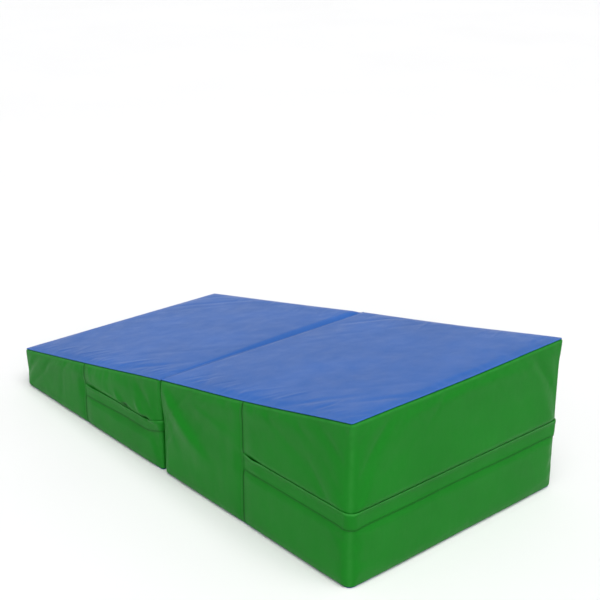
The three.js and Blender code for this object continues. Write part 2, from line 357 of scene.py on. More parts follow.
def top_streaks(half, x, y):
    """Fine tension wrinkles that run in from the near and far edges of the blue top."""
    random = np.random.default_rng(11 if half is THICK else 12)
    total = np.zeros_like(x)
    for _ in range(46):
        side = -1 if random.random() < 0.72 else 1
        start_x = random.uniform(half.plain_x + 40, half.zip_x - 20)
        lean = random.normal(0.42, 0.25)
        length = random.uniform(30, 95)
        inset = random.uniform(3, 18)
        height = random.uniform(0.3, 0.95) * random.choice([-1, 1], p=[0.35, 0.65])
        width = random.uniform(3.2, 6.5)
        start = (start_x, side * (half.far_y - inset))
        end = (start_x + lean * length, side * (half.far_y - inset - length))
        total += crease(x, y, start, end, height, width, width)
    return total


# On the near side, the x, z and depth of the pinches just above the thin half's flap, and each fold's start,
# end, height and the widths of its flanks.
DIMPLES = ((-137, 119, 6.0), (-58, 115, 7.0))
FOLDS = {
    "thin": (
        ((-128, 110), (-186, 144), 3.2, 9, 8),
        ((-50, 106), (-98, 160), 3.8, 10, 8),
        ((-16, 112), (-52, 196), 2.2, 14, 10),
    ),
    "thick": (
        ((-10, 226), (200, 80), 10.0, 13, 36),
        ((110, 216), (292, 190), 2.6, 9, 22),
        ((6, 196), (70, 60), 2.0, 12, 22),
    ),
}


def pinch(x, z, dimple_x, dimple_z):
    """1 in the middle of a dimple, fading out round it."""
    return bump(x - dimple_x, 10) * bump(z - dimple_z, 6)


def wall_folds(half, x, z):
    """Folds and dimples of the near side, which pull from the top corner beside the split."""
    total = sum(crease(x, z, *fold) for fold in FOLDS[half.name])
    if half is THIN:
        for dimple_x, dimple_z, depth in DIMPLES:
            total = total - depth * pinch(x, z, dimple_x, dimple_z)
    return total


def soft_shape(half, point, normal):
    """How far the soft cover stands from the plain wedge at each point."""
    x, y, z = np.moveaxis(point, -1, 0)
    under_top = top_at(x) - z
    from_split = np.abs(x) - SPLIT_HALF_GAP
    from_end = np.minimum(x - half.plain_x, half.zip_x - x)
    from_side = np.minimum(y - half.near_y, half.far_y - y)
    from_corner = np.maximum(from_end, from_side)
    faces_up = np.clip(normal[..., 2], 0, 1) ** 2
    faces_out = 1 - normal[..., 2] ** 2
    on_side = normal[..., 1] ** 2
    at_split = np.abs(normal[..., 0]) * (from_split < WALL_SHOULDER / 2)

    # the zip and the side seams hold the cloth in
    seam_x = np.where(y > 0, half.far_seam, half.near_seam)
    on_zipped = np.where(normal[..., 0] > 0.5, 1, smooth(1 - (seam_x - x) / ZIPPED_BLEND))
    on_zipped = np.where(normal[..., 0] < -0.5, 0, on_zipped)
    near_zip = on_zipped * (1 - smooth((np.abs(z - half.chain) - 9) / 24))
    free = (1 - near_zip) * (1 - 0.5 * bump(x - seam_x, 18) * on_side)

    below_rim = shoulder(under_top, WALL_SHOULDER)
    crown = WALL_CROWN + (SPLIT_FACE_CROWN - WALL_CROWN) * at_split
    wall = crown * free * below_rim * shoulder(z, WALL_SHOULDER) * shoulder(from_corner, WALL_SHOULDER)
    puff = FLAP_PUFF * smooth((z - half.flap_top + 6) / 13) * smooth((half.flap_top + 90 - z) / 80)
    puff = puff * below_rim * (1 - 0.75 * at_split) * shoulder(from_corner - 2, 60)
    wall = wall + puff * on_zipped * (1 - bump(x - seam_x, 44) * on_side)
    lip = TOP_LIP * shoulder(under_top - TOP_SEAM, 6) * (1 - smooth(under_top / EDGE_REACH))
    wall = wall + lip * (1 - 0.7 * at_split)
    wall = wall + np.where(normal[..., 1] < -0.5, wall_folds(half, x, z), 0)
    top = TOP_CROWN * shoulder(from_end, TOP_SHOULDER) * shoulder(from_side, TOP_SHOULDER)
    top = top + top_streaks(half, x, y) * shoulder(from_end, 10)
    moved = normal * (wall * faces_out + top * faces_up)[..., None]

    from_rim = np.minimum(under_top, from_corner)
    from_rim = np.where(normal[..., 2] > 0.5, np.minimum(from_end, from_side), from_rim)
    swell = SWELL_ON_TOP * faces_up * smooth(from_split / 120) + faces_out * free
    swell = swell * (0.25 + 0.75 * shoulder(from_rim, 26)) * (1 - 0.6 * at_split)
    moved = moved + swelling_at(half, point, normal) * swell[..., None]

    moved[..., 0] *= np.where(np.abs(x) < 40, shoulder(from_split, 35), 1)
    moved[..., 0] -= np.sign(x) * lean_over_split(half, x, y, np.maximum(under_top, 0))
    moved[..., 2] -= sag(half, x, y) * np.exp(-under_top / EDGE_REACH) * smooth(z / 40)
    curl = BOTTOM_CURL * (1 - np.clip(z / 9, 0, 1)) ** 2
    toward_middle = np.where(x - half.plain_x < half.zip_x - x, 1, -1)
    moved[..., 0] += curl * toward_middle * np.exp(-from_end / 10)
    moved[..., 1] -= curl * np.sign(y) * np.exp(-from_side / 10)
    return moved


# ---- paths round a half


def wall_path(half, zipped):
    """Seam, two sharp corners and seam, in plan, anticlockwise."""
    end_x = half.zip_x if zipped else half.plain_x
    near = [(half.near_seam, half.near_y), (end_x, half.near_y)]
    far = [(end_x, half.far_y), (half.far_seam, half.far_y)]
    return np.array(near + far if zipped else far[::-1] + near[::-1])


def path_ends(path):
    """Distance along the path to the end of each of its straight lengths."""
    return np.cumsum(np.linalg.norm(np.diff(path, axis=0), axis=1))


def zip_ends(half):
    """Distances round the zipped side to its near corner, its far corner and its far seam."""
    return path_ends(wall_path(half, True))


def low_corner_radius(half, x, y):
    """Radius of the nearest upright corner, well below the top."""
    if half is THIN:
        return np.where(x > half.plain_x / 2, SPLIT_CORNER_RADIUS, CORNER_RADIUS)
    at_end = np.where(y < 0, WORN_CORNER_RADIUS, CORNER_RADIUS)
    return np.where(x < half.zip_x / 2, SPLIT_CORNER_RADIUS, at_end)


def along_path(path, distance, radius):
    """Points and outward normals at distances along a path whose corners are rounded to radius."""
    distance, radius = np.broadcast_arrays(distance, radius)
    directions = unit(np.diff(path, axis=0))
    normals = np.stack([directions[:, 1], -directions[:, 0]], axis=1)
    ends = path_ends(path)
    starts = np.concatenate([[0], ends[:-1]])
    segment = np.searchsorted(ends[:-1], distance)
    point = path[segment] + directions[segment] * (distance - starts[segment])[..., None]
    normal = normals[segment]
    for corner in (0, 1):
        offset = distance - ends[corner]
        straight = CORNER_REACH - radius
        whole = 2 * straight + radius * QUARTER
        travelled = (offset / CORNER_REACH + 1) / 2 * whole
        angle = np.clip((travelled - straight) / radius, 0, QUARTER)
        first = np.clip(travelled, 0, straight) + radius * np.sin(angle)
        second = radius * (1 - np.cos(angle)) + np.maximum(travelled - straight - radius * QUARTER, 0)
        into, out_of = directions[corner], directions[corner + 1]
        turned = path[corner + 1] + into * (first - CORNER_REACH)[..., None] + out_of * second[..., None]
        facing = normals[corner] * np.cos(angle)[..., None] + normals[corner + 1] * np.sin(angle)[..., None]
        inside = (np.abs(offset) < CORNER_REACH)[..., None]
        point = np.where(inside, turned, point)
        normal = np.where(inside, facing, normal)
    return point, normal


def cover_surface(half, zipped, distance, z, outward=0.0):
    """Points and normals of the soft side surface, at distances along a path and heights z."""
    distance, z = np.broadcast_arrays(distance, z)
    path = wall_path(half, zipped)
    plan = along_path(path, distance, TOP_CORNER_RADIUS)[0]
    under_top = top_at(plan[..., 0]) - z
    share = smooth((under_top - TOP_SEAM) / CRISP_DEPTH)
    low_radius = low_corner_radius(half, plan[..., 0], plan[..., 1])
    radius = TOP_CORNER_RADIUS + (low_radius - TOP_CORNER_RADIUS) * share
    flat_point, flat_normal = along_path(path, distance, radius)
    point = np.concatenate([flat_point, z[..., None]], axis=-1)
    normal = np.concatenate([flat_normal, np.zeros(z.shape)[..., None]], axis=-1)
    moved = point + soft_shape(half, point, normal)
    return moved + normal * np.asarray(outward)[..., None], normal


def zip_rise(half, distance):
    """How far the zip and its flap run above their level.

    On the thin half they curl up at the split. On the thick half they dip round both corners of the end.
    """
    near_corner, far_corner, _ = zip_ends(half)
    if half is THIN:
        start = -5.5 * (1 - smooth(distance / 190))
        lifting = smooth((distance - near_corner + 58) / 62)
        settling = 1 - smooth((distance - near_corner) / 160)
        return start + 14 * lifting * settling
    dips = bump(distance - near_corner, 24) + bump(distance - far_corner, 20)
    sag = bump(distance - near_corner - 150, 90) + bump(distance - far_corner + 150, 90)
    return -3.0 * dips - 1.5 * sag


# ---- cloth grids


def roll(place, radius, tuck):
    """Distance from the seam and depth under the surface, at a place along the cloth from its cut edge."""
    angle = np.clip((place - tuck) / radius, 0, QUARTER)
    flat = np.maximum(place - tuck - radius * QUARTER, 0)
    away = SEAM_GAP / 2 + radius * (1 - np.cos(angle)) + flat
    depth = radius * (1 - np.sin(angle)) + np.maximum(tuck - place, 0)
    return away, depth


SEAM = (SEAM_RADIUS, SEAM_TUCK)
ZIP_EDGE = (ZIP_EDGE_RADIUS, 0.0)


def rolled_extra(edge):
    """Cloth that a rolled edge takes up beyond its seam."""
    radius, tuck = edge
    return tuck + radius * (QUARTER - 1) - SEAM_GAP / 2


def places(length, step):
    """Places along cloth of each length, close together near both cut edges."""
    length = np.asarray(length, float)[..., None]
    last = EDGE_PLACES[-1]
    count = max(3, round((float(length.max()) - 2 * last) / step))
    middle = last + np.linspace(0, 1, count + 1)[1:-1] * (length - 2 * last)
    shape = length.shape[:-1] + EDGE_PLACES.shape
    low = np.broadcast_to(EDGE_PLACES, shape)
    high = length - EDGE_PLACES[::-1]
    return np.concatenate([low, middle, high], axis=-1)


def lay_cloth(place, length, low_edge, high_edge):
    """Distance and depth of places along cloth that rolls in at both edges of a gap of this length."""
    whole = length + rolled_extra(low_edge) + rolled_extra(high_edge)
    low_away, low_depth = roll(place, *low_edge)
    high_away, high_depth = roll(whole - place, *high_edge)
    distance = np.where(place < whole / 2, low_away, length - high_away)
    return distance, low_depth + high_depth


def side_places(path):
    """Places along a side cloth, with closer ones round the two corners."""
    length = path_ends(path)[-1]
    extra = rolled_extra(SEAM)
    place = places(length + 2 * extra, CLOTH_STEP)
    for corner in path_ends(path)[:2] + extra:
        near = np.abs(place - corner) <= CORNER_REACH
        turn = corner + np.arange(-CORNER_REACH, CORNER_REACH + 0.1, CORNER_STEP)
        place = np.sort(np.concatenate([place[~near], turn]))
    return place


def side_distances(path, start, end):
    """Distances along a path, but for a start and an end that are left free."""
    distance = side_places(path)
    return distance[(distance > start) & (distance < path_ends(path)[-1] - end)]


def side_cloth(half, zipped, low, low_edge, high, high_edge):
    """Grid of a side cloth between two heights, where high None means up to the sloping top seam.

    An edge beside the zip follows the zip's rise.
    """
    path = wall_path(half, zipped)
    length = path_ends(path)[-1]
    distance, side_depth = lay_cloth(side_places(path), length, SEAM, SEAM)
    plan = along_path(path, distance, TOP_CORNER_RADIUS)[0]
    zip_shift = zip_rise(half, distance)
    low = low + zip_shift * (low_edge is ZIP_EDGE)
    high = top_at(plan[:, 0]) - TOP_SEAM if high is None else high + zip_shift
    height = high - low
    upright = places(height + rolled_extra(low_edge) + rolled_extra(high_edge), CLOTH_STEP).T
    z, level_depth = lay_cloth(upright, height, low_edge, high_edge)
    z = z + low
    from_side = np.minimum(distance, length - distance)
    depth = side_depth + level_depth
    if not zipped:
        depth = depth + TOPSTITCH_DENT * bump(from_side - TOPSTITCH, 0.9)
    surface = cover_surface(half, zipped, distance[None, :], z, -depth)[0]
    # Painted shade in the grooves of the side seams and of the seams at top and bottom.
    at_level = bump(z - low, 1.3) * (low_edge is SEAM) + bump(high - z, 1.3) * (high_edge is SEAM)
    seam = np.maximum(bump(from_side, 2.0), 0.4 * at_level)
    # Painted shade in the pinches above the thin half's flap, where the cloth tucks under.
    if half is THIN and zipped:
        for dimple_x, dimple_z, _ in DIMPLES:
            dark = pinch(surface[..., 0], surface[..., 2], dimple_x, dimple_z)
            seam = np.maximum(seam, 1.2 * dark * (surface[..., 1] < half.near_y + 12))
    # Lighter round the upright corners and just under the top seam, along the green lip: partly edge wear,
    # partly painted highlight.
    from_turn = np.min(np.abs(distance[:, None] - path_ends(path)[:2]), axis=1)
    worn = np.maximum(0.6 * bump(from_turn, 5), 0.9 * bump(high - z - 2.5, 2.5) * (high_edge is SEAM))
    return surface, {"seam": seam, "worn": worn}


def panel_cloth(half, is_top):
    """Grid of the blue top or underside, wrapped over the edges to its seam."""
    seam_drop = TOP_SEAM if is_top else BOTTOM_SEAM
    edge_radius = TOP_EDGE_RADIUS if is_top else BOTTOM_EDGE_RADIUS
    upright = seam_drop - SEAM_GAP / 2 - SEAM_RADIUS - edge_radius
    bend = SEAM_TUCK + SEAM_RADIUS * QUARTER + upright  # where the cloth starts to turn over the edge
    extra = bend + edge_radius * (QUARTER - 1)
    centre = np.array([(half.plain_x + half.zip_x) / 2, 0])
    reach = np.array([(half.zip_x - half.plain_x) / 2, half.far_y]) + extra
    across_x = places(2 * reach[0], CLOTH_STEP) - reach[0]
    across_y = places(2 * reach[1], CLOTH_STEP) - reach[1]
    x, y = np.meshgrid(across_x, across_y)
    corner_radius = TOP_CORNER_RADIUS if is_top else low_corner_radius(half, x + centre[0], y)
    turn = corner_radius + extra
    p = np.maximum(np.abs(x) - (reach[0] - turn), 0)
    q = np.maximum(np.abs(y) - (reach[1] - turn), 0)
    round_p = p * np.sqrt(1 - q**2 / (2 * turn**2))
    round_q = q * np.sqrt(1 - p**2 / (2 * turn**2))
    x = x + np.sign(x) * (round_p - p)
    y = y + np.sign(y) * (round_q - q)
    in_corner = (p > 0) & (q > 0)
    from_corner = np.hypot(round_p, round_q)
    from_edge = np.minimum(reach[0] - np.abs(x), reach[1] - np.abs(y))
    place = np.where(in_corner, turn - from_corner, from_edge)
    nearest_x = reach[0] - np.abs(x) < reach[1] - np.abs(y)
    safe = np.maximum(from_corner, 1e-9)
    out_x = np.sign(x) * np.where(in_corner, round_p / safe, nearest_x)
    out_y = np.sign(y) * np.where(in_corner, round_q / safe, ~nearest_x)
    away, depth = roll(np.minimum(place, bend), SEAM_RADIUS, SEAM_TUCK)
    angle = np.clip((place - bend) / edge_radius, 0, QUARTER)
    flat = np.maximum(place - bend - edge_radius * QUARTER, 0)
    inset = depth + edge_radius * (1 - np.cos(angle)) + flat
    drop = seam_drop - away - edge_radius * np.sin(angle)
    x = x + out_x * (place - extra - inset) + centre[0]
    y = y + out_y * (place - extra - inset)
    z = top_at(x) - drop if is_top else drop
    point = np.stack([x, y, z], axis=-1)
    upward = 1.0 if is_top else -1.0
    normal = np.broadcast_to(np.array([0, 0, upward]), point.shape)
    point = point + soft_shape(half, point, normal)
    # Painted shade in the seam groove round the top; on the underside, a wider and darker painted shadow
    # along its wrap where it meets the floor.
    seam = bump(np.maximum(place - SEAM_TUCK, 0), 1.5 if is_top else 5.0) * (0.6 if is_top else 1)
    # Lighter along the rounded top edge: partly edge wear, partly painted highlight.
    worn = bump(place - bend - 0.8 * edge_radius, 2.4)
    if not is_top:
        return point[::-1], {"seam": seam[::-1]}
    return point, {"seam": seam, "worn": worn}


# ---- meshes


def add_mesh(name, points, faces, material, flat_from=None, attributes=None):
    """A mesh object in metres, smooth but for the faces from flat_from on."""
    mesh = bpy.data.meshes.new(name)
    mesh.from_pydata((points * MM).tolist(), [], faces)
    is_smooth = np.ones(len(faces), bool)
    if flat_from is not None:
        is_smooth[flat_from:] = False
    mesh.polygons.foreach_set("use_smooth", is_smooth)
    for label, values in (attributes or {}).items():
        layer = mesh.attributes.new(label, "FLOAT", "POINT")
        layer.data.foreach_set("value", np.asarray(values, np.float32).ravel())
    mesh.materials.append(material)
    mesh.update()
    piece = bpy.data.objects.new(name, mesh)
    bpy.context.scene.collection.objects.link(piece)
    return piece


def grid_normals(grid):
    return unit(np.cross(np.gradient(grid, axis=1), np.gradient(grid, axis=0)))


def grid_faces(index):
    quads = [index[:-1, :-1], index[:-1, 1:], index[1:, 1:], index[1:, :-1]]
    return np.stack(quads, axis=-1).reshape(-1, 4)


def add_cloth(name, grid, thickness, material, **shades):
    """A closed thin sheet whose outer face is the grid, with a value per grid point for each shade."""
    rows, columns = grid.shape[:2]
    inner = grid - grid_normals(grid) * thickness
    points = np.concatenate([grid.reshape(-1, 3), inner.reshape(-1, 3)])
    outside = np.arange(rows * columns).reshape(rows, columns)
    inside = outside + rows * columns
    faces = [grid_faces(outside), grid_faces(inside[:, ::-1])]
    border = [
        (outside[0], inside[0]),
        (outside[:, -1], inside[:, -1]),
        (outside[-1, ::-1], inside[-1, ::-1]),
        (outside[::-1, 0], inside[::-1, 0]),
    ]
    for outer_edge, inner_edge in border:
        faces.append(grid_faces(np.stack([inner_edge, outer_edge])))
    rim = sum(len(group) for group in faces[:2])
    faces = np.concatenate(faces).tolist()
    for label, shade in shades.items():
        shades[label] = np.tile(np.broadcast_to(shade, (rows, columns)).ravel(), 2)
    return add_mesh(name, points, faces, material, rim, shades)


def add_swept(name, rings, material, **shades):
    """A closed solid through a row of closed rings, each with the same number of points."""
    count, around = rings.shape[:2]
    index = np.arange(count * around).reshape(count, around)
    looped = np.concatenate([index, index[:, :1]], axis=1)
    sides = grid_faces(looped)
    faces = sides.tolist() + [index[0].tolist(), index[-1, ::-1].tolist()]
    return add_mesh(name, rings.reshape(-1, 3), faces, material, len(sides), shades)


def add_copies(name, template, faces, frames, material):
    """Many small copies of one closed shape, each placed by its own 3 x 4 frame."""
    points = np.einsum("nij,kj->nki", frames[:, :, :3], template) + frames[:, None, :, 3]
    offsets = np.arange(len(frames)) * len(template)
    every = [[corner + offset for corner in face] for offset in offsets.tolist() for face in faces]
    return add_mesh(name, points.reshape(-1, 3), every, material)


def rounded_block(half_size, power=0.45, around=8):
    """Points and faces of a block with round edges, about the origin."""
    turn = np.arange(around) * 2 * math.pi / around + math.pi / around
    tilt = np.linspace(-QUARTER, QUARTER, 5)[1:-1]

    def soften(value):
        return np.sign(value) * np.abs(value) ** power

    ring_x = soften(np.cos(tilt))[:, None] * soften(np.cos(turn))[None, :]
    ring_y = soften(np.cos(tilt))[:, None] * soften(np.sin(turn))[None, :]
    ring_z = np.broadcast_to(soften(np.sin(tilt))[:, None], ring_x.shape)
    rings = np.stack([ring_x, ring_y, ring_z], axis=-1)
    points = np.concatenate([[[0, 0, -1]], rings.reshape(-1, 3), [[0, 0, 1]]]) * half_size
    index = 1 + np.arange(rings.shape[0] * around).reshape(-1, around)
    faces = grid_faces(np.concatenate([index, index[:, :1]], axis=1)).tolist()
    last = len(points) - 1
    for step in range(around):
        following = (step + 1) % around
        faces.append([0, int(index[0, following]), int(index[0, step])])
        faces.append([last, int(index[-1, step]), int(index[-1, following])])
    return points, faces


# ---- materials


def add_node(tree, kind, settings=None, inputs=None):
    """A new node, each of whose inputs is given a value or linked to another node's output."""
    node = tree.nodes.new(kind)
    for key, value in (settings or {}).items():
        setattr(node, key, value)
    for key, value in (inputs or {}).items():
        socket = node.inputs[key]
        if isinstance(value, bpy.types.NodeSocket):
            tree.links.new(value, socket)
        else:
            socket.default_value = value
    return node


class Shader:
    """One material's node tree, built a node at a time. Its sizes and depths are in millimetres."""

    def __init__(self, name):
        self.material = bpy.data.materials.new(name)
        self.material.use_nodes = True
        self.tree = self.material.node_tree
        self.tree.nodes.clear()
        self.place = self.add("ShaderNodeTexCoord").outputs["Object"]

    def add(self, kind, settings=None, inputs=None):
        return add_node(self.tree, kind, settings, inputs)

    def noise(self, size, detail=2.0, stretch=(1, 1, 1)):
        """A 0 to 1 value whose features are about this size."""
        scaled = self.add("ShaderNodeMapping", None, {"Vector": self.place, "Scale": stretch})
        inputs = {"Vector": scaled.outputs[0], "Scale": 1 / (size * MM), "Detail": detail}
        return self.add("ShaderNodeTexNoise", None, inputs).outputs["Fac"]

    def cells(self, size, feature="F1"):
        """Distance from the middle of the nearest of many cells of about this size."""
        inputs = {"Vector": self.place, "Scale": 1 / (size * MM)}
        return self.add("ShaderNodeTexVoronoi", {"feature": feature}, inputs).outputs["Distance"]

    def between(self, value, low, high):
        """Stretches the middle of a 0 to 1 value over a range."""
        inputs = {"Value": value, "From Min": 0.3, "From Max": 0.7, "To Min": low, "To Max": high}
        return self.add("ShaderNodeMapRange", None, inputs).outputs["Result"]

    def mix(self, share, first, second):
        inputs = {0: share, 6: first, 7: second}  # sockets 6 and 7 are the two colours
        return self.add("ShaderNodeMix", {"data_type": "RGBA"}, inputs).outputs[2]

    def value(self, label):
        """One of the mesh's own values."""
        return self.add("ShaderNodeAttribute", {"attribute_name": label}).outputs["Fac"]

    def product(self, first, second):
        return self.add("ShaderNodeMath", {"operation": "MULTIPLY"}, {0: first, 1: second}).outputs[0]

    def relief(self, height, depth, below=None):
        """Bump of a height map, on top of another bump."""
        inputs = {"Height": height, "Distance": depth * MM, "Strength": 1.0}
        if below is not None:
            inputs["Normal"] = below
        return self.add("ShaderNodeBump", None, inputs).outputs["Normal"]

    def finish(self, colour, roughness, normal=None, **others):
        """The finished material. Others are further inputs, with _ for each space in their names."""
        inputs = {"Base Color": colour, "Roughness": roughness}
        if normal is not None:
            inputs["Normal"] = normal
        for label, value in others.items():
            inputs[label.replace("_", " ")] = value
        surface = self.add("ShaderNodeBsdfPrincipled", None, inputs)
        self.add("ShaderNodeOutputMaterial", None, {"Surface": surface.outputs[0]})
        return self.material


def rgba(colour, gain=1.0):
    return tuple(min(1.0, channel * gain) for channel in colour) + (1.0,)


def vinyl(name, colour, satin):
    """Vinyl-coated cloth: pebble grain, slow changes of tone, painted shade in seams and hollows, and
    lighter edges, partly scuffed and partly painted highlight.

    Satin is the strength of its reflections.
    """
    shader = Shader(name)
    tone = shader.between(shader.noise(160, 3), 0.0, 1.0)
    base = shader.mix(tone, rgba(colour, 0.92), rgba(colour, 1.06))
    scuffs = shader.between(shader.noise(7, 4, (1, 1, 0.25)), 0.0, 0.12)
    base = shader.mix(scuffs, base, rgba([channel * 1.3 + 0.01 for channel in colour]))
    # Lighter along edges, round the upright corners and along the flap's fold: partly edge wear, partly
    # painted highlight where the cloth turns up to the light.
    worn = shader.product(shader.value("worn"), shader.between(shader.noise(14, 4), 0.25, 0.6))
    base = shader.mix(worn, base, rgba([channel * 1.35 + 0.03 for channel in colour]))
    # Painted shade: darker towards a deep shade of the colour where the mesh's seam value is high, in seam
    # grooves, creases, hollows, under pinches and along the underside's wrap.
    base = shader.mix(shader.product(shader.value("seam"), 0.8), base, rgba(colour, 0.22))
    grain = shader.cells(1.1, "SMOOTH_F1")
    base = shader.mix(shader.between(grain, 0.0, 0.14), base, rgba(colour, 0.55))
    normal = shader.relief(grain, 0.16)
    normal = shader.relief(shader.noise(26, 3), 0.35, normal)
    normal = shader.relief(shader.noise(90, 2), 0.7, normal)
    roughness = shader.between(shader.noise(45, 3), 0.36, 0.46)
    return shader.finish(base, roughness, normal, Specular_IOR_Level=satin)


def thread(name, colour):
    """Twisted polyester sewing thread."""
    shader = Shader(name)
    twist = shader.noise(0.5, 2, (1, 1, 2.5))
    base = shader.mix(twist, rgba(colour, 0.6), rgba(colour, 1.1))
    return shader.finish(base, 0.7, shader.relief(twist, 0.08))


def foam(name, colour):
    """Cut foam: open cells, a little yellowed in places."""
    shader = Shader(name)
    cells = shader.cells(1.8)
    tone = shader.between(shader.noise(70, 3), 0.0, 1.0)
    yellowed = (colour[0], colour[1] * 0.94, colour[2] * 0.8)
    base = shader.mix(tone, rgba(colour), rgba(yellowed))
    return shader.finish(shader.mix(cells, rgba(colour, 0.75), base), 0.95, shader.relief(cells, 0.6))


def woven_tape(name, colour):
    """Woven zip tape: ribs along the tape crossed by fine wefts."""
    shader = Shader(name)
    bands = {"wave_type": "BANDS", "bands_direction": "Z"}
    inputs = {"Vector": shader.place, "Scale": 1 / (2.2 * MM) / 3.14, "Distortion": 0.6}
    ribs = shader.add("ShaderNodeTexWave", bands, inputs).outputs["Fac"]
    weft = shader.noise(0.7, 1, (1, 1, 0.3))
    base = shader.mix(ribs, rgba(colour, 0.6), rgba(colour, 1.7))
    normal = shader.relief(shader.mix(0.5, ribs, weft), 0.25)
    return shader.finish(base, shader.between(weft, 0.7, 0.9), normal, Sheen_Weight=0.2)


def moulded(name, colour):
    """Moulded nylon zip teeth."""
    shader = Shader(name)
    tone = shader.noise(3, 2)
    base = shader.mix(tone, rgba(colour, 0.8), rgba(colour, 1.3))
    return shader.finish(base, shader.between(shader.noise(1.5, 3), 0.32, 0.5), shader.relief(tone, 0.05))


def cast_metal(name, colour):
    """Plated die-cast metal, brushed and a little scuffed."""
    shader = Shader(name)
    brushed = shader.noise(0.5, 3, (0.15, 1, 1))
    worn = shader.between(shader.noise(4, 4), 0.0, 1.0)
    base = shader.mix(worn, rgba(colour, 0.85), rgba(colour, 1.1))
    roughness = shader.between(brushed, 0.24, 0.42)
    return shader.finish(base, roughness, shader.relief(brushed, 0.02), Metallic=1.0)


SLOTS = {entry["slot"]: entry["base_color"] for entry in frame["record"]["materials"]}
BLUE = vinyl("blue_vinyl", (0.028, 0.118, 0.412), 0.12)
GREEN = vinyl("green_vinyl", (0.0065, 0.172, 0.0105), 0.08)
GREEN_THREAD = thread("green_thread", (0.006, 0.075, 0.008))
FOAM = foam("foam", SLOTS["foam"])
TAPE = woven_tape("zip_tape", SLOTS["zip_tape"])
TEETH = moulded("zip_coil", SLOTS["zip_coil"])
METAL = cast_metal("zip_metal", SLOTS["zip_metal"])

# ---- pieces of a half


def fit(piece, half, slot, *nodes):
    """Puts a finished piece on its half and hides the CAD nodes that it stands for. Its slot is not used."""
    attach(piece, half.body)
    if nodes:
        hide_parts(*nodes)
    return piece


def make_cover(half):
    """The five sewn sheets round the foam."""
    boxing = (
        ("plain_boxing", False, BOTTOM_SEAM, SEAM, None, SEAM),
        ("upper_boxing", True, half.upper_edge, ZIP_EDGE, None, SEAM),
        ("lower_boxing", True, BOTTOM_SEAM, SEAM, half.lower_edge, ZIP_EDGE),
    )
    sheets = [
        ("top_panel", "blue_vinyl", BLUE, panel_cloth(half, True)),
        ("bottom_panel", "blue_vinyl", BLUE, panel_cloth(half, False)),
    ]
    sheets += [(label, "green_vinyl", GREEN, side_cloth(half, *sides)) for label, *sides in boxing]
    for label, slot, material, (grid, shades) in sheets:
        node = f"{half.name}_{label}"
        fit(add_cloth(f"{node}_cloth", grid, VINYL, material, **shades), half, slot, node)


FLAP_STITCH = 2.5  # height of the flap's row of stitches above its lower edge
FLAP_LIES = 0.25  # clearance behind the flap where nothing is under it
FLAP_STANDS = 2.9  # clearance behind the flap where the slider runs
FLAP_LIFT = 11.0  # height over which the flap comes away from the cover
FLAP_LAYER = 0.735  # one of the flap's two layers, with a little air
FLAP_BEND = 1.2  # height of the fold at the flap's top
FLAP_DENT = 0.55  # depth of the stitches in it
FLAP_GAPE = 34.0  # the flap gapes most at this distance from its near end
FLAP_LEVELS = (0, 0.5, 1.2, 1.9, 2.5, 3.1, 3.9, 5, 6.5, 8.5, 11)  # heights close together round the stitches


def flap_surface(half, distance, height, outward):
    """A point of the flap at a height above its lower edge, outward from the cover."""
    z = half.flap_bottom + zip_rise(half, distance) + height
    return cover_surface(half, True, distance, z, outward)


def beside_slider(half, distance):
    """1 along the far side, where the slider runs, and 0 elsewhere."""
    return smooth((distance - zip_ends(half)[1]) / 24)


def flap_lift(half, distance, height):
    """Clearance between the cover and the inner face of the flap."""
    near_corner, _, whole = zip_ends(half)
    off_slider = 1 - beside_slider(half, distance)
    gape = bump(distance - FLAP_GAPE, 22)
    gapes = (2.2 if half is THICK else 0.6) * gape + 1.2 * bump(distance - near_corner, 14)
    gapes = gapes + 0.3 * (1 + np.sin(distance / 31 + 2 * np.sin(distance / 77)))
    stands = FLAP_STANDS + (FLAP_LIES + gapes - FLAP_STANDS) * off_slider
    at_ends = smooth(distance / 14) * (0.6 + 0.4 * smooth((whole - distance) / 12))
    from_top = half.flap_top - half.flap_bottom - height
    pressed = 0.8 * smooth((9 - from_top) / 8) * off_slider * (1 - gape)
    return 0.15 + stands * at_ends * smooth((height - 1) / FLAP_LIFT) * (1 - pressed)


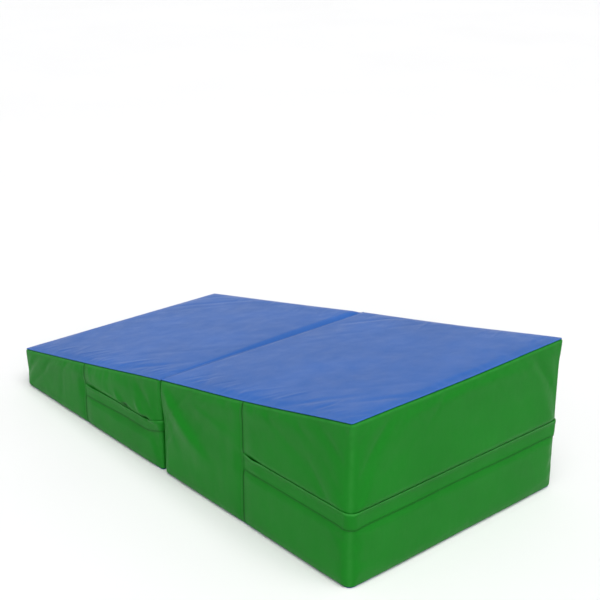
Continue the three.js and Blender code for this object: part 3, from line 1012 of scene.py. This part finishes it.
def make_flap(half):
    """A strip of cloth folded in two, sewn down along its foot and open at its top."""
    whole = zip_ends(half)[2]
    distance = side_distances(wall_path(half, True), 1.2, 0.4)[:, None]
    tall = half.flap_top - half.flap_bottom
    rising = np.concatenate([FLAP_LEVELS, np.linspace(14, tall - FLAP_BEND, 7)])
    over = np.linspace(0, math.pi, 7)[1:-1]
    height = np.concatenate([rising, tall - FLAP_BEND * (1 - np.sin(over)), rising[::-1]])[None, :]
    back = np.zeros(rising.shape)
    offset = np.concatenate([back + 2 * FLAP_LAYER, FLAP_LAYER * (1 + np.cos(over)), back])
    dent = FLAP_DENT * bump(height - FLAP_STITCH, 0.9)
    hem = FLAP_LAYER * (1 - smooth(height / 1.2))
    plump = 1.1 * bump(height - tall + 4, 4.5)
    ripple = 0.35 * np.abs(np.sin(distance / 23 + 0.6 * np.sin(distance / 41))) * smooth(height / tall)
    ripple = ripple * smooth(distance / 20) * smooth((whole - distance) / 20)
    outward = flap_lift(half, distance, height) + ripple * (1 - beside_slider(half, distance))
    outward = outward + offset + (plump - dent - hem) * (offset > FLAP_LAYER)
    points = flap_surface(half, distance, height, outward)[0]
    # Painted shade along the flap's foot and its row of stitches.
    seam = np.maximum(0.3 * bump(height - FLAP_STITCH, 1.2), bump(height, 1.2)) * (offset > 0)
    # Lighter along the flap's fold: painted highlight, with some edge wear.
    worn = 1.6 * bump(height - tall + 0.6, 1.8) * (offset > 0.3 * FLAP_LAYER)
    shades = {"seam": np.broadcast_to(seam, outward.shape), "worn": np.broadcast_to(worn, outward.shape)}
    piece = add_swept(f"{half.name}_zip_flap_cloth", points, GREEN, **shades)
    fit(piece, half, "green_vinyl", f"{half.name}_zip_flap")


# ---- stitches


def stitch_frames(points, normals):
    """Frames for stitches laid end to end along a line of surface points."""
    steps = np.linalg.norm(np.diff(points, axis=0), axis=1)
    travelled = np.concatenate([[0], np.cumsum(steps)])
    centres = np.arange(STITCH_PITCH, travelled[-1] - STITCH_PITCH, STITCH_PITCH)

    def at(values, where):
        return np.stack([np.interp(where, travelled, values[:, axis]) for axis in range(3)], axis=-1)

    here = at(points, centres)
    forward = unit(at(points, centres + 0.5) - at(points, centres - 0.5))
    across = unit(np.cross(at(normals, centres), forward))
    out = np.cross(forward, across)
    return np.stack([forward, across, out, here + out * THREAD_RISE], axis=-1)


def make_stitches(half):
    """Topstitching beside both side seams and along the foot of the flap."""
    rows = []
    plain_length = path_ends(wall_path(half, False))[-1]
    for distance in (TOPSTITCH, plain_length - TOPSTITCH):
        plan = along_path(wall_path(half, False), distance, CORNER_RADIUS)[0]
        z = np.linspace(BOTTOM_SEAM + 2, top_at(plan[0]) - TOP_SEAM - 2, 80)
        points, normals = cover_surface(half, False, np.full(z.shape, distance), z, -TOPSTITCH_DENT)
        rows.append(stitch_frames(points, normals))
    distance = np.linspace(4, zip_ends(half)[2] - 4, 500)
    lift = flap_lift(half, distance, FLAP_STITCH) + 2 * FLAP_LAYER - FLAP_DENT
    points, normals = flap_surface(half, distance, FLAP_STITCH, lift)
    rows.append(stitch_frames(points, normals))
    template, faces = rounded_block([STITCH_LENGTH / 2, THREAD_RADIUS, THREAD_RADIUS], power=0.8, around=6)
    piece = add_copies(f"{half.name}_topstitching", template, faces, np.concatenate(rows), GREEN_THREAD)
    fit(piece, half, "green_vinyl")


# ---- zips and foam

TAPE_THICKNESS = 0.6
TOOTH_PITCH = 2.6
TOOTH_LENGTH = 1.7
TOOTH_THICKNESS = 1.96
TOOTH_SINKS = 1.0  # from the outer face of the row to the middle of a tooth
METAL_BEVEL = 0.12


def make_tapes(half):
    distance = side_distances(wall_path(half, True), 0.3, 0.3)
    for side in ("upper", "lower"):
        node = f"{half.name}_zip_tape_{side}"
        low, high = box_mm(node)
        z = np.linspace(low[2], high[2], 8)[:, None] + zip_rise(half, distance)
        grid = cover_surface(half, True, distance[None, :], z, high[1] - half.far_y)[0]
        fit(add_cloth(f"{node}_woven", grid, TAPE_THICKNESS, TAPE), half, "zip_tape", node)


def make_teeth(half):
    whole = zip_ends(half)[2]
    for side in ("upper", "lower"):
        node = f"{half.name}_zip_teeth_{side}"
        low, high = box_mm(node)
        start = low[0] - half.near_seam
        stagger = TOOTH_PITCH / 2 if side == "upper" else 0
        distance = np.arange(start + 1.5 + stagger, whole - start - 1, TOOTH_PITCH)
        z = (low[2] + high[2]) / 2 + zip_rise(half, distance)
        points, normals = cover_surface(half, True, distance, z, high[1] - half.far_y - TOOTH_SINKS)
        upward = np.broadcast_to(np.array([0.0, 0, 1]), normals.shape)
        frames = np.stack([np.cross(normals, upward), normals, upward, points], axis=-1)
        template, faces = rounded_block([TOOTH_LENGTH / 2, TOOTH_THICKNESS / 2, (high[2] - low[2]) / 2])
        piece = add_copies(f"{node}_moulded", template, faces, frames, TEETH)
        fit(piece, half, "zip_coil", node)


FOAM_INSET = 4.4
FOAM_TOP_INSET = 6.5
FOAM_FOOT = 1.5
FOAM_BEVEL = 6.0
GROOVE_INSET = 6.4
GROOVE_HALF_HEIGHT = 10.0
GROOVE_SLOPE = 3.0


def make_foam(half):
    """The wedge block, soft-edged, with a groove along the zip where the slider presses in."""
    loops = []
    for zipped in (True, False):
        path = wall_path(half, zipped)
        distance = side_distances(path, 6, 6)[::2]
        loops.append((*along_path(path, distance, WORN_CORNER_RADIUS), np.full(distance.shape, zipped)))
    point, normal, on_zip = (np.concatenate(group) for group in zip(*loops))
    rings = []

    def ring(inset, z):
        plan = point - normal * np.broadcast_to(inset, on_zip.shape)[:, None]
        rings.append(np.column_stack([plan, np.broadcast_to(z, on_zip.shape)]))

    turn = np.linspace(0, QUARTER, 5)
    bevel = list(zip(FOAM_INSET + FOAM_BEVEL * (1 - np.sin(turn)), FOAM_BEVEL * (1 - np.cos(turn))))
    for inset, rise in bevel:
        ring(inset, FOAM_FOOT + rise)
    highest = top_at(point[:, 0]) - FOAM_TOP_INSET - 2 * FOAM_BEVEL
    groove = np.where(on_zip, GROOVE_INSET, FOAM_INSET)
    inner, outer = GROOVE_HALF_HEIGHT, GROOVE_HALF_HEIGHT + GROOVE_SLOPE
    for offset, inset in ((-outer, FOAM_INSET), (-inner, groove), (inner, groove), (outer, FOAM_INSET)):
        ring(inset, np.minimum(half.chain + offset, highest + 0.1 * offset))
    for inset, rise in bevel[::-1]:
        ring(inset, top_at(point[:, 0] - normal[:, 0] * inset) - FOAM_TOP_INSET - rise)
    piece = add_swept(f"{half.name}_foam_block", np.stack(rings), FOAM)
    fit(piece, half, "foam", f"{half.name}_foam_core")


def finish_metal(half):
    """The zip's metal parts keep their CAD shape and get softened edges and a plated finish."""
    for label in ("zip_slider", "zip_pull", "zip_stop_near", "zip_stop_far"):
        node = frame["nodes"][f"{half.name}_{label}"]
        node.data.materials.clear()
        node.data.materials.append(METAL)
        bevel = node.modifiers.new("soft_edges", "BEVEL")
        bevel.width = METAL_BEVEL * MM
        bevel.segments = 2
        bevel.limit_method = "ANGLE"


# ---- the fold


STRIP_OVERLAP = 3.4  # the strip lies this far over each half's top edge
STRIP_LIES = 0.55  # outer face of the strip above the tops
STRIP_COLUMNS = 37  # points across the strip, close enough to bend round
STRIP_OUT = 0.5  # the ends of the strip stand out from the sides
STRIP_TURN = 1.2  # and turn down over them


def strip_profile():
    """Distance in from the side and drop below the top where the strip's end turns over the edge."""
    angle = np.linspace(QUARTER, 0, 7)[:-1]
    inset = TOP_EDGE_RADIUS * (1 - np.sin(angle)) - STRIP_OUT
    drop = TOP_EDGE_RADIUS * (1 - np.cos(angle))
    return np.append(-STRIP_OUT, inset), np.append(drop[0] + STRIP_TURN, drop)


def make_fold_strip():
    """The blue cloth in the valley between the two tops."""
    inset, drop = strip_profile()
    middle = np.linspace(THICK.near_y + TOP_EDGE_RADIUS, THICK.far_y - TOP_EDGE_RADIUS, 141)
    y = np.concatenate([THICK.near_y + inset, middle, (THICK.far_y - inset)[::-1]])
    drop = np.concatenate([drop, np.zeros(len(middle)), drop[::-1]])
    up = np.array([0, 0, 1.0])
    edges = []
    for half, side in ((THIN, -1), (THICK, 1)):
        x = np.full(y.shape, side * (SPLIT_HALF_GAP + STRIP_OVERLAP))
        point = np.stack([x, np.clip(y, half.near_y, half.far_y), top_at(x)], axis=-1)
        point = point + soft_shape(half, point, np.broadcast_to(up, point.shape)) + up * STRIP_LIES
        point[:, 1] = y
        edges.append(point[:, None, :])
    across = np.linspace(0, 1, STRIP_COLUMNS)
    grid = edges[0] + (edges[1] - edges[0]) * across[:, None]
    level = edges[0][..., 2] + (edges[1] - edges[0])[..., 2] * smooth(across)
    hollow = np.sin(across * math.pi) ** 2
    dip = 1.0 + 1.2 * smooth((y - THICK.near_y - 20) / 420) + 0.3 * np.sin(y / 13)
    grid[..., 2] = level - dip[:, None] * hollow - drop[:, None]
    # Painted shade in the hollow of the strip, passed on as its seam value.
    piece = add_cloth("fold_strip_cloth", grid, VINYL, BLUE, seam=0.35 * hollow**2)
    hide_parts("fold_strip")
    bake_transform(piece)


for each_half in HALVES:
    make_cover(each_half)
    make_flap(each_half)
    make_stitches(each_half)
    make_tapes(each_half)
    make_teeth(each_half)
    make_foam(each_half)
    finish_metal(each_half)
make_fold_strip()

# ---- studio

CAMERA_PLACE = Vector((2.0348, -1.6722, 1.3608))
CAMERA_FORWARD = Vector((-0.7028, 0.6123, -0.3622)).normalized()
CAMERA_ROLL = math.radians(0.17)
CAMERA_LENS = 73.48
SENSOR = 36.0
FLOOR_REACH = 20000
FLOOR_DROP = 0.4  # keeps the floor off the underside


def make_camera():
    camera = bpy.data.objects.new("camera", bpy.data.cameras.new("camera"))
    camera.data.lens = CAMERA_LENS
    camera.data.sensor_width = SENSOR
    camera.data.clip_end = 60
    turn = CAMERA_FORWARD.to_track_quat("-Z", "Y") @ Matrix.Rotation(CAMERA_ROLL, 3, "Z").to_quaternion()
    camera.rotation_mode = "QUATERNION"
    camera.rotation_quaternion = turn
    camera.location = CAMERA_PLACE
    bpy.context.scene.collection.objects.link(camera)
    bpy.context.scene.camera = camera


def make_light(name, kind, place, energy, aim=(0, 0, 0.15)):
    data = bpy.data.lights.new(name, kind)
    data.energy = energy
    light = bpy.data.objects.new(name, data)
    light.location = place
    light.rotation_mode = "QUATERNION"
    light.rotation_quaternion = (Vector(aim) - Vector(place)).to_track_quat("-Z", "Y")
    bpy.context.scene.collection.objects.link(light)
    return light


def make_lights():
    """One broad soft light from overhead, a little towards the thick end, and a weak one in front."""
    overhead = make_light("overhead", "SUN", (1.5, -0.55, 4.0), 2.7)
    overhead.data.angle = math.radians(50)
    overhead.visible_glossy = False
    front = make_light("front", "AREA", (3.0, -2.2, 1.8), 14)
    front.data.shape = "SQUARE"
    front.data.size = 1.8


def make_world():
    """A white studio, bright low down and dimmer overhead. The camera itself sees plain white."""
    world = bpy.data.worlds.new("studio")
    bpy.context.scene.world = world
    world.use_nodes = True
    tree = world.node_tree
    tree.nodes.clear()
    direction = add_node(tree, "ShaderNodeTexCoord").outputs["Generated"]
    height = add_node(tree, "ShaderNodeSeparateXYZ", None, {0: direction}).outputs["Z"]
    ramp = add_node(tree, "ShaderNodeValToRGB", None, {"Fac": height})
    bright, dim = ramp.color_ramp.elements
    bright.position = 0.35
    bright.color = (1, 1, 1, 1)
    dim.position = 0.75
    dim.color = (0.2, 0.2, 0.21, 1)
    lighting = add_node(tree, "ShaderNodeBackground", None, {"Color": ramp.outputs[0], "Strength": 0.85})
    white = add_node(tree, "ShaderNodeBackground", None, {"Color": (1, 1, 1, 1)})
    seen = add_node(tree, "ShaderNodeLightPath").outputs["Is Camera Ray"]
    inputs = {0: seen, 1: lighting.outputs[0], 2: white.outputs[0]}
    either = add_node(tree, "ShaderNodeMixShader", None, inputs)
    add_node(tree, "ShaderNodeOutputWorld", None, {"Surface": either.outputs[0]})


def make_floor():
    shader = Shader("studio_floor")
    tone = shader.between(shader.noise(900, 2), 0.0, 1.0)
    material = shader.finish(shader.mix(tone, (0.87, 0.87, 0.87, 1), (0.89, 0.89, 0.89, 1)), 0.7)
    corners = np.array([(-1, -1, 0), (1, -1, 0), (1, 1, 0), (-1, 1, 0)]) * FLOOR_REACH - (0, 0, FLOOR_DROP)
    add_mesh("studio_floor", corners, [[0, 1, 2, 3]], material)


make_camera()
make_world()
make_floor()
make_lights()
bpy.context.scene.view_settings.view_transform = "Standard"
